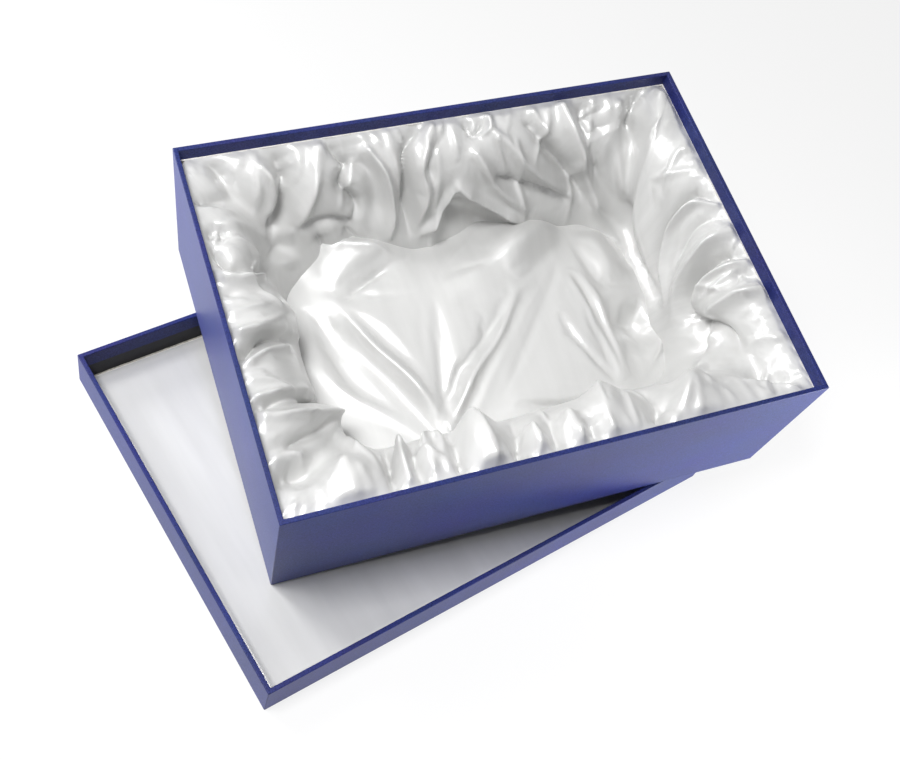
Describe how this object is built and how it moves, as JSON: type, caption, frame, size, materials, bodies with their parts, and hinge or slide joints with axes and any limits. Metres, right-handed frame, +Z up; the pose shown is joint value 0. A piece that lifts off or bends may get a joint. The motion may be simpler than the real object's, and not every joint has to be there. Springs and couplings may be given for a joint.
{
  "type": "satin-lined box",
  "caption": "Open rectangular presentation tray with a padded, gathered satin lining, propped on its upturned shallow lift-off lid, which has a flat padded satin panel.",
  "frame": {"origin": "centre of the lid's outer face, which lies on the table", "axes": "+Z up; +X along the tray's long side seen from above, towards its raised end; +Y along its short side, away from the viewer"},
  "size_m": [0.4217, 0.3292, 0.1726],
  "materials": {
    "blue_paper": "satin",
    "white_satin": "satin",
    "greyboard": "matte",
    "lining_card": "matte",
    "stay_paper": "matte",
    "wadding": "matte"
  },
  "bodies": {
    "lid": {"lid_back_board": "greyboard", "lid_corner_stays": "stay_paper", "lid_front_board": "greyboard", "lid_left_board": "greyboard", "lid_pad_card": "lining_card", "lid_pad_satin": "white_satin", "lid_pad_wadding": "wadding", "lid_right_board": "greyboard", "lid_top_board": "greyboard", "lid_wrap": "blue_paper"},
    "tray": {"back_liner_card": "lining_card", "back_satin": "white_satin", "back_wadding": "wadding", "floor_card": "lining_card", "floor_satin": "white_satin", "floor_wadding": "wadding", "front_liner_card": "lining_card", "front_satin": "white_satin", "front_wadding": "wadding", "left_liner_card": "lining_card", "left_satin": "white_satin", "left_wadding": "wadding", "right_liner_card": "lining_card", "right_satin": "white_satin", "right_wadding": "wadding", "tray_back_board": "greyboard", "tray_corner_stays": "stay_paper", "tray_floor_board": "greyboard", "tray_front_board": "greyboard", "tray_left_board": "greyboard", "tray_right_board": "greyboard", "tray_wrap": "blue_paper"}
  },
  "joints": [
    {"name": "tray_lift", "type": "slide", "parent": "lid", "child": "tray", "axis": [0, 0, 1], "range_m": [0, 0.16]}
  ]
}
